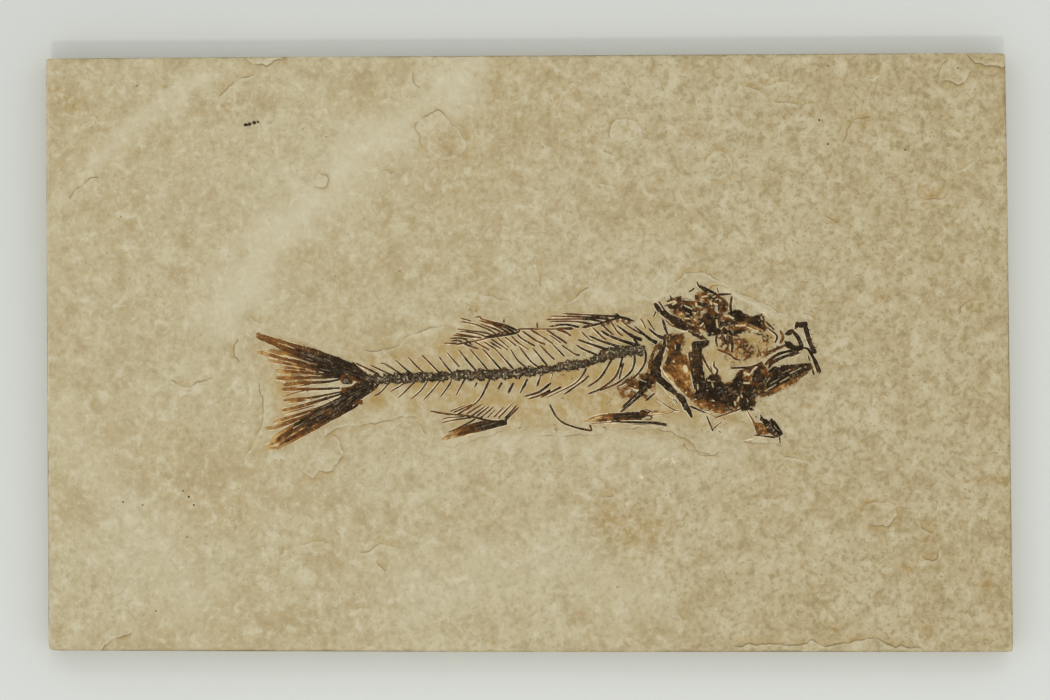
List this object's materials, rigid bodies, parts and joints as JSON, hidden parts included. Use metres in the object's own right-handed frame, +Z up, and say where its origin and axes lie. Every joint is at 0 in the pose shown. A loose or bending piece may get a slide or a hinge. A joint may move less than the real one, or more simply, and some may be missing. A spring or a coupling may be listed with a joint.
{
  "type": "fossil fish slab",
  "caption": "Thin rectangular limestone slab lying flat, with a whole fossil fish skeleton in low relief in a shallow prepared basin.",
  "frame": {"origin": "middle of the underside of the slab", "axes": "+X towards the fish's head, +Y towards the fish's back, +Z up out of the slab's face"},
  "size_m": [0.3, 0.1858, 0.0111],
  "materials": {
    "limestone": "matte",
    "dark_bone": "satin",
    "brown_bone": "satin",
    "amber_bone": "satin"
  },
  "bodies": {
    "root": {"slab": "limestone", "anal_fin": "dark_bone", "backbone_front": "dark_bone", "backbone_middle": "dark_bone", "backbone_rear": "dark_bone", "braincase": "dark_bone", "branchiostegal_1": "dark_bone", "branchiostegal_2": "dark_bone", "cleithrum": "dark_bone", "dorsal_support_1": "dark_bone", "dorsal_support_2": "dark_bone", "first_dorsal_fin": "dark_bone", "frontal": "dark_bone", "gill_splint": "brown_bone", "haemal_spine_10": "dark_bone", "haemal_spine_11": "dark_bone", "haemal_spine_12": "dark_bone", "haemal_spine_13": "dark_bone", "haemal_spine_8": "dark_bone", "hyoid_fragment": "dark_bone", "hyomandibular": "dark_bone", "isolated_spine": "dark_bone", "jaw_joint": "dark_bone", "lower_jaw": "dark_bone", "lower_orbit_bar": "dark_bone", "maxilla": "dark_bone", "nasal_bone": "brown_bone", "neural_spine_16": "dark_bone", "neural_spine_17": "dark_bone", "neural_spine_18": "dark_bone", "neural_spine_25": "dark_bone", "neural_spine_26": "dark_bone", "neural_spine_8": "dark_bone", "opercle": "amber_bone", "orbit_rim": "brown_bone", "orbit_roof": "dark_bone", "pectoral_girdle": "brown_bone", "pectoral_ray": "dark_bone", "pelvic_bone": "dark_bone", "pelvic_fin": "amber_bone", "pelvic_girdle": "brown_bone", "premaxilla": "dark_bone", "preopercle": "brown_bone", "rear_rib_1": "dark_bone", "rear_rib_2": "dark_bone", "rear_rib_3": "dark_bone", "rib_1": "dark_bone", "rib_2": "dark_bone", "rib_3": "dark_bone", "rib_4": "dark_bone", "rib_5": "dark_bone", "rib_6": "dark_bone", "second_dorsal_fin": "brown_bone", "skull_crest": "brown_bone", "skull_roof_rear": "dark_bone", "small_spine_1": "dark_bone", "small_spine_2": "dark_bone", "supracleithrum": "dark_bone", "tail_fin_lower_lobe": "dark_bone", "tail_fin_upper_lobe": "dark_bone"}
  },
  "joints": []
}
